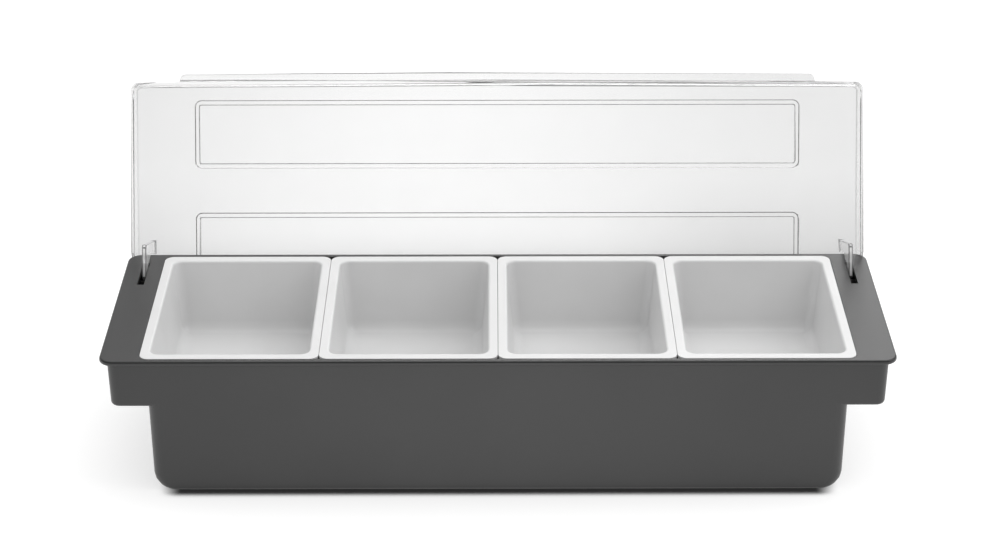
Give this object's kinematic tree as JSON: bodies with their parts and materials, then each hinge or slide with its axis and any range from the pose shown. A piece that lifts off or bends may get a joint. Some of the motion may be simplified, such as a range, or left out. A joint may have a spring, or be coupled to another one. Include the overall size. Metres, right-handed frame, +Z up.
{
  "type": "condiment caddy",
  "caption": "Long bar-top condiment tray with lift-out white inserts under a clear hinged lid, shown open.",
  "frame": {"origin": "centre of the tray's base, on the surface it stands on", "axes": "+X along the tray, +Y from the front to the hinge side, +Z up"},
  "size_m": [0.5, 0.2242, 0.2063],
  "materials": {
    "tray_plastic": "satin dark grey moulded plastic",
    "insert_plastic": "satin white moulded plastic",
    "lid_plastic": "clear glossy moulded plastic"
  },
  "bodies": {
    "tray": {"tray": "tray_plastic"},
    "insert_1": {"insert_1": "insert_plastic"},
    "insert_2": {"insert_2": "insert_plastic"},
    "insert_3": {"insert_3": "insert_plastic"},
    "insert_4": {"insert_4": "insert_plastic"},
    "lid": {"lid": "lid_plastic"}
  },
  "joints": [
    {"name": "lid_hinge", "type": "hinge", "parent": "tray", "child": "lid", "pos_m": [0, 0.0608, 0.0823], "axis": [-1, 0, 0], "range_deg": [-115.4, 0]},
    {"name": "insert_1_lift", "type": "slide", "parent": "tray", "child": "insert_1", "axis": [0, 0, 1], "range_m": [0, 0.075]},
    {"name": "insert_2_lift", "type": "slide", "parent": "tray", "child": "insert_2", "axis": [0, 0, 1], "range_m": [0, 0.075]},
    {"name": "insert_3_lift", "type": "slide", "parent": "tray", "child": "insert_3", "axis": [0, 0, 1], "range_m": [0, 0.075]},
    {"name": "insert_4_lift", "type": "slide", "parent": "tray", "child": "insert_4", "axis": [0, 0, 1], "range_m": [0, 0.075]}
  ]
}
